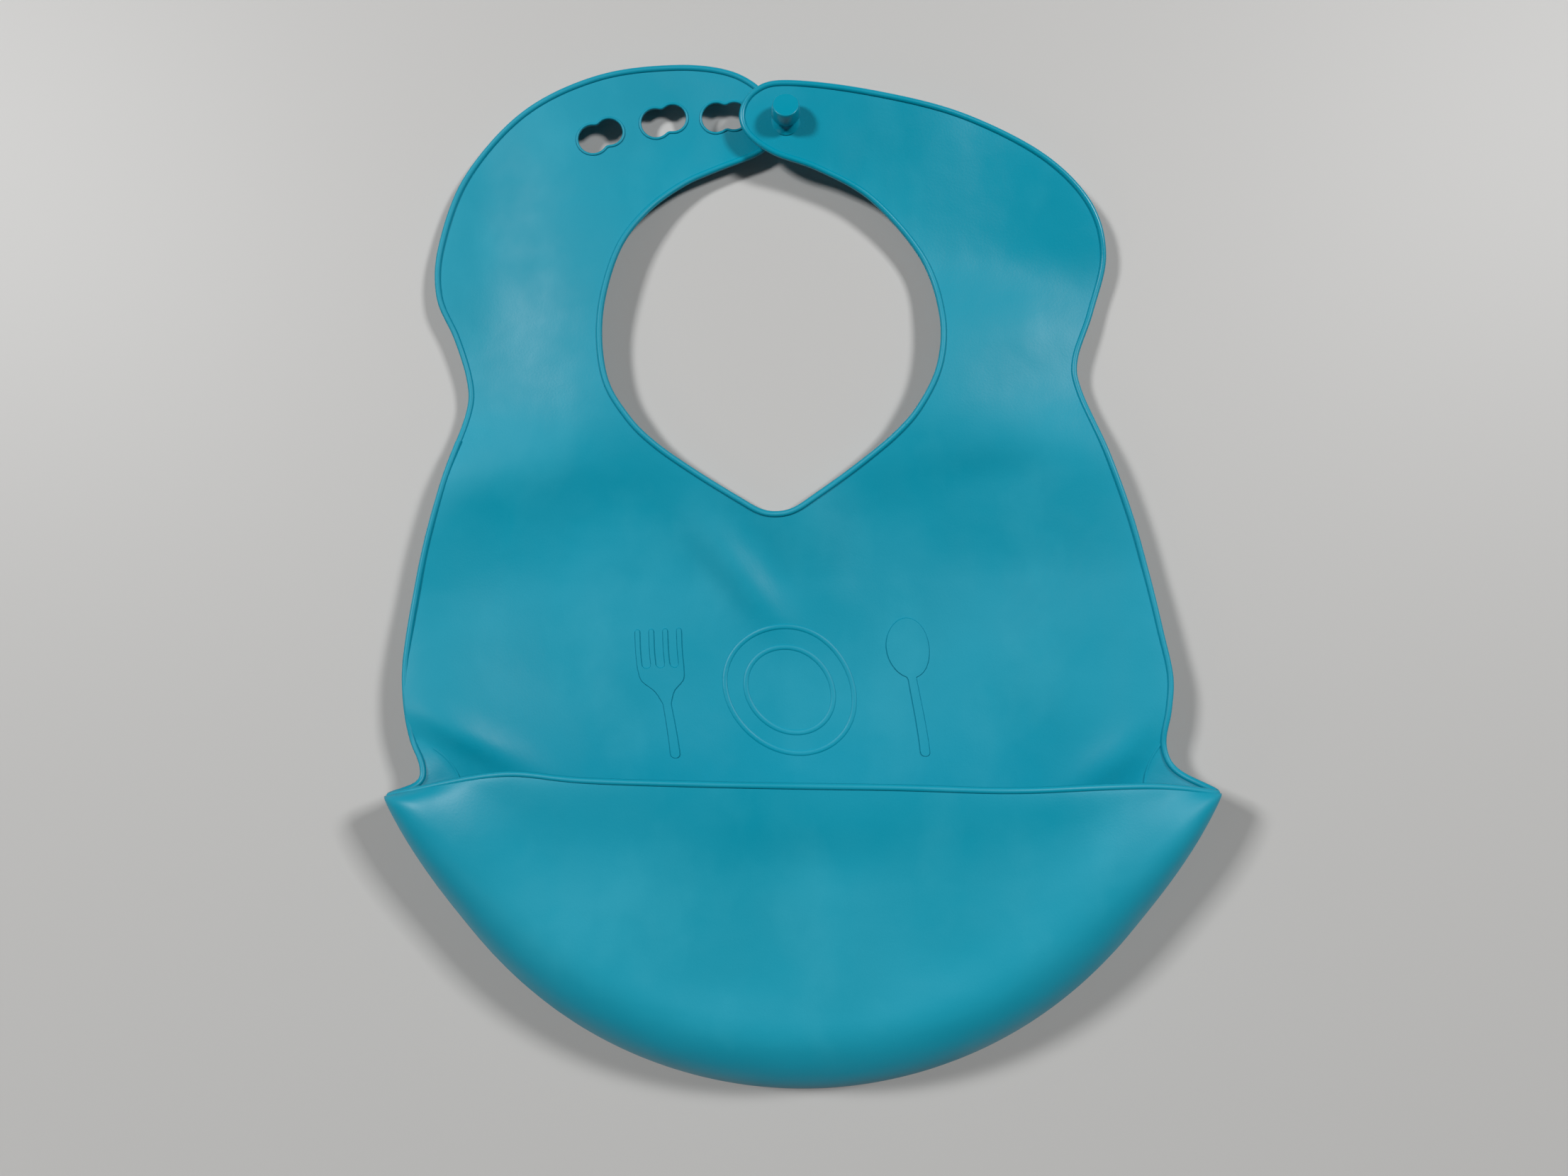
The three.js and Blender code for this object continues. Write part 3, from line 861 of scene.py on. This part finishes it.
def stud_profile(foot, top):
    """Radii and heights from the flared foot up to the crisp edge of the top."""
    under = foot + STUD_UNDER
    flared_foot = [(STUD_NECK + 1.3, foot + 0.1), (STUD_NECK + 0.6, foot + 0.5),
                   (STUD_NECK + 0.2, foot + 0.9), (STUD_NECK, foot + 1.4)]
    underside = [(STUD_NECK, under - 0.3), (STUD_NECK + 0.3, under), (STUD_HEAD - 0.5, under + 0.05)]
    rounded_side = [(STUD_HEAD - 0.12, under + 0.3), (STUD_HEAD, under + 0.8),
                    (STUD_TOP + 0.2, top - 1.2), (STUD_TOP + 0.05, top - 0.3)]
    crisp_top = [(STUD_TOP - 0.03, top - 0.1), (STUD_TOP - 0.15, top - 0.01), (STUD_TOP - 0.4, top)]
    return [*flared_foot, *underside, *rounded_side, *crisp_top]


def stud():
    """The mushroom-shaped stud. Its neck bends a little, and its top is over the middle of the CAD's."""
    low, high = box("closure_stud")
    centre = (low + high) / 2
    foot = float(right_z(centre.x, centre.y)) + SHEET - STUD_ROOT
    top = high.z + STUD_ABOVE
    foot_y = centre.y - (top - foot) * math.sin(STUD_LEAN)
    turn = 2 * math.pi * np.arange(STUD_TURNS) / STUD_TURNS
    rings = []
    for r, z in stud_profile(foot, top):
        lean = STUD_LEAN * float(smoothstep(z, foot, foot + STUD_UNDER))
        out = r * np.sin(turn)
        rings.append(np.column_stack([
            centre.x + r * np.cos(turn),
            foot_y + (z - foot) * math.sin(lean) + out * math.cos(lean),
            foot + (z - foot) * math.cos(lean) - out * math.sin(lean),
        ]))
    faces = ring_faces(len(rings), STUD_TURNS)
    last = (len(rings) - 1) * STUD_TURNS
    faces.append(list(range(STUD_TURNS))[::-1])
    faces.append([last + k for k in range(STUD_TURNS)])
    return build(np.vstack(rings), faces)


# ---- material ----
DEEP_TEAL = (0.0, 0.285, 0.405, 1)
TEAL = (0.0, 0.31, 0.44, 1)
# Lighter teal for smears that are partly dust and partly painted sheen, and for painted sheen low on the
# pouch.
DUST_AND_SHEEN_TEAL = (0.03, 0.38, 0.51, 1)
SMEAR_DUST_AND_SHEEN = 0.22
# Painted sheen: the pouch is painted lighter towards its bottom.
POUCH_SHEEN = 0.3
POUCH_SHEEN_Y = (-0.048, -0.066)  # painted sheen thickens between these, towards the bottom of the pouch
DUST_AND_SHEEN_FACING = (0.8, 0.97)  # and it and the smears are painted only where the sheet faces up
STRAP_Y = (0.096, 0.11)  # the straps' finish begins between these
STRAP_X = (-0.05, 0.0)  # the left strap is worn duller and the right one is glossier
STRAP_GLOSS = (-0.08, 0.18)
ROUGHNESS = (0.44, 0.54)
RUBBER_IOR = 1.41
FINE_GRAIN = 0.0001
SOFT_GRAIN = 0.0012
GRAIN_STRENGTH = 0.25


class Pattern:
    """A new material, and short ways to add linked nodes to it."""

    def __init__(self, name):
        self.material = bpy.data.materials.new(name)
        self.material.use_nodes = True
        self.tree = self.material.node_tree
        coordinates = self.tree.nodes.new("ShaderNodeTexCoord")
        self.place = coordinates.outputs["Object"]
        self.position = self.split(self.place)
        self.normal = self.split(coordinates.outputs["Normal"])

    def split(self, vector):
        node = self.tree.nodes.new("ShaderNodeSeparateXYZ")
        self.tree.links.new(vector, node.inputs["Vector"])
        return node.outputs

    def cloud(self, scale, detail, stretch=(1, 1, 1)):
        mapping = self.tree.nodes.new("ShaderNodeMapping")
        mapping.inputs["Scale"].default_value = stretch
        self.tree.links.new(self.place, mapping.inputs["Vector"])
        node = self.tree.nodes.new("ShaderNodeTexNoise")
        node.inputs["Scale"].default_value = scale
        node.inputs["Detail"].default_value = detail
        self.tree.links.new(mapping.outputs["Vector"], node.inputs["Vector"])
        return node.outputs["Fac"]

    def ramp(self, source, low, high, low_value, high_value):
        node = self.tree.nodes.new("ShaderNodeMapRange")
        node.inputs["From Min"].default_value = low
        node.inputs["From Max"].default_value = high
        node.inputs["To Min"].default_value = low_value
        node.inputs["To Max"].default_value = high_value
        self.tree.links.new(source, node.inputs["Value"])
        return node.outputs["Result"]

    def combine(self, operation, a, b):
        node = self.tree.nodes.new("ShaderNodeMath")
        node.operation = operation
        self.tree.links.new(a, node.inputs[0])
        self.tree.links.new(b, node.inputs[1])
        return node.outputs["Value"]

    def mix(self, factor, a, b):
        """Two colours mixed: b is a colour, and a is a colour or a socket."""
        node = self.tree.nodes.new("ShaderNodeMix")
        node.data_type = "RGBA"
        self.tree.links.new(factor, node.inputs["Factor"])
        if isinstance(a, tuple):
            node.inputs[6].default_value = a
        else:
            self.tree.links.new(a, node.inputs[6])
        node.inputs[7].default_value = b
        return node.outputs[2]

    def grain(self, height, distance):
        node = self.tree.nodes.new("ShaderNodeBump")
        node.inputs["Strength"].default_value = GRAIN_STRENGTH
        node.inputs["Distance"].default_value = distance
        self.tree.links.new(height, node.inputs["Height"])
        return node


def silicone_colour(pattern):
    """Faintly uneven teal, with lighter smears that are partly dust and partly painted sheen, and more
    painted sheen low on the pouch, all only where the sheet faces up.
    """
    body = pattern.mix(pattern.ramp(pattern.cloud(14, 3), 0.35, 0.65, 0, 1), DEEP_TEAL, TEAL)
    # Smears: partly dust, partly painted sheen.
    dust_and_sheen_smear = pattern.ramp(pattern.cloud(45, 6, (1, 0.6, 1)), 0.52, 0.68, 0, SMEAR_DUST_AND_SHEEN)
    # Painted sheen: the pouch is painted lighter towards its bottom.
    painted_pouch_sheen = pattern.ramp(pattern.position["Y"], *POUCH_SHEEN_Y, 0, POUCH_SHEEN)
    # The smears and the painted sheen go only where the sheet faces up.
    facing_up = pattern.ramp(pattern.normal["Z"], *DUST_AND_SHEEN_FACING, 0, 1)
    dust_and_sheen = pattern.combine("MULTIPLY", pattern.combine("ADD", dust_and_sheen_smear, painted_pouch_sheen), facing_up)
    return pattern.mix(dust_and_sheen, body, DUST_AND_SHEEN_TEAL)


def silicone_roughness(pattern):
    """Satin with handled patches; the straps differ from each other."""
    handled = pattern.ramp(pattern.cloud(30, 5), 0.42, 0.58, *ROUGHNESS)
    on_strap = pattern.ramp(pattern.position["Y"], *STRAP_Y, 0, 1)
    by_side = pattern.ramp(pattern.position["X"], *STRAP_X, *STRAP_GLOSS)
    return pattern.combine("SUBTRACT", handled, pattern.combine("MULTIPLY", on_strap, by_side))


def silicone():
    pattern = Pattern("teal_silicone")
    tree = pattern.tree
    shader = tree.nodes["Principled BSDF"]
    tree.links.new(silicone_colour(pattern), shader.inputs["Base Color"])
    tree.links.new(silicone_roughness(pattern), shader.inputs["Roughness"])
    shader.inputs["Specular IOR Level"].default_value = 0.5
    shader.inputs["IOR"].default_value = RUBBER_IOR
    fine = pattern.grain(pattern.cloud(1600, 3), FINE_GRAIN)
    soft = pattern.grain(pattern.cloud(60, 2), SOFT_GRAIN)
    tree.links.new(fine.outputs["Normal"], soft.inputs["Normal"])
    tree.links.new(soft.outputs["Normal"], shader.inputs["Normal"])
    return pattern.material


# ---- stage ----
TABLE_HALF = 3.0
TABLE_DROP = 0.0002  # the table lies this little below the bib
TABLE_COLOUR = (0.53, 0.525, 0.515)
ROOM_LIGHT = 0.02
LAMPS = [  # name, place, size, power in watts
    ("left_softbox", (-1.53, 0.86, 2.0), (0.4, 0.4), 43),
    ("right_softbox", (1.53, 0.82, 2.0), (0.4, 0.4), 40),
    ("overhead", (0.08, 0.3, 1.6), (1.0, 0.5), 0.2),
    ("low_left", (-1.0, -0.7, 0.8), (0.35, 0.35), 0.5),
]


def plain(name, colour, roughness):
    material = bpy.data.materials.new(name)
    material.use_nodes = True
    shader = material.node_tree.nodes["Principled BSDF"]
    shader.inputs["Base Color"].default_value = (*colour, 1)
    shader.inputs["Roughness"].default_value = roughness
    return material


def table():
    half = TABLE_HALF
    mesh = bpy.data.meshes.new("table")
    corners = [(-half, -half, 0), (half, -half, 0), (half, half, 0), (-half, half, 0)]
    mesh.from_pydata(corners, [], [(0, 1, 2, 3)])
    mesh.materials.append(plain("pale_table", TABLE_COLOUR, 0.5))
    floor = bpy.data.objects.new("table", mesh)
    bpy.context.scene.collection.objects.link(floor)
    floor.location.z = -TABLE_DROP


def lamp(name, place, size, power):
    light = bpy.data.lights.new(name, "AREA")
    light.shape = "RECTANGLE"
    light.size, light.size_y = size
    light.energy = power
    holder = bpy.data.objects.new(name, light)
    holder.location = place
    holder.rotation_euler = (-Vector(place)).to_track_quat("-Z", "Y").to_euler()
    bpy.context.scene.collection.objects.link(holder)


CAMERA_PLACE = (0.00097, 0.0146, 0.360)
CAMERA_ROLL = -2.2  # degrees
CAMERA_LENS = 28.25  # and its sensor, in millimetres
CAMERA_SENSOR = 36


def studio():
    for settings in LAMPS:
        lamp(*settings)
    world = bpy.data.worlds.new("room")
    world.use_nodes = True
    background = world.node_tree.nodes["Background"]
    background.inputs["Color"].default_value = (1, 1, 1, 1)
    background.inputs["Strength"].default_value = ROOM_LIGHT
    bpy.context.scene.world = world
    camera = bpy.data.cameras.new("camera")
    camera.lens = CAMERA_LENS
    camera.sensor_width = CAMERA_SENSOR
    camera.clip_start = 0.01
    holder = bpy.data.objects.new("camera", camera)
    holder.location = CAMERA_PLACE
    holder.rotation_euler = (0, 0, math.radians(CAMERA_ROLL))
    bpy.context.scene.collection.objects.link(holder)
    bpy.context.scene.camera = holder
    bpy.context.scene.view_settings.view_transform = "Standard"


# ---- the bib ----
rubber = silicone()
chest_pieces(rubber)
left = strap_edge(-1, mirrored(SIDE), LEFT_STRAP, mirrored(HALF_NOTCH[:4]))
right = strap_edge(1, SIDE, RIGHT_STRAP, HALF_NOTCH[:4])
strap_pieces(-1, left, left_z, "left_strap", "left_tab",
             ("left_strap", "left_keyhole_tab"), [], rubber)
strap_pieces(1, right, right_z, "right_strap", "right_tab",
             ("right_strap", "right_stud_tab", "closure_stud"), [stud()], rubber)
table()
studio()
